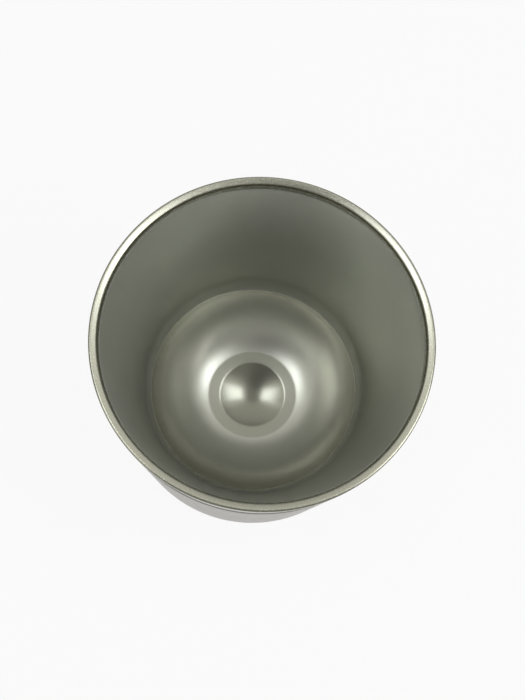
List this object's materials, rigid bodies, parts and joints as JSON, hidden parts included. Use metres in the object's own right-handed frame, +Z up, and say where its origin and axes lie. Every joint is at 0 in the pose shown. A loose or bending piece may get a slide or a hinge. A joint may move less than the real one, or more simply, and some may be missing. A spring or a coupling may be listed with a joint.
{
  "type": "insulated tumbler",
  "caption": "Open double-walled steel tumbler with a rounded lip, a satin tapered liner with a dished floor, a pale coated outer wall and a recessed base plate.",
  "frame": {"origin": "centre of the face that the cup stands on", "axes": "+Z up along the cup's axis, out of its mouth; +X towards the getter inside the base"},
  "size_m": [0.089, 0.089, 0.084],
  "materials": {
    "lip_steel": "ground round and satin polished, bare",
    "liner_steel": "fine satin, electropolished grey",
    "shell_steel": "satin, bare where the coat leaves it",
    "pale_coat": "pale grey powder coat with a fine texture",
    "copper_foil": "bright rolled copper foil",
    "solder_glass": "dark fused solder glass",
    "getter_metal": "dull sintered metal"
  },
  "bodies": {
    "root": {"lip_ring": "lip_steel", "inner_wall": "liner_steel", "inner_floor": "liner_steel", "heat_foil": "copper_foil", "outer_wall": "shell_steel", "colour_coat": "pale_coat", "base_plate": "shell_steel", "vacuum_bottom": "shell_steel", "solder_seal": "solder_glass", "getter_cup": "shell_steel", "getter_pellet": "getter_metal"}
  },
  "joints": []
}
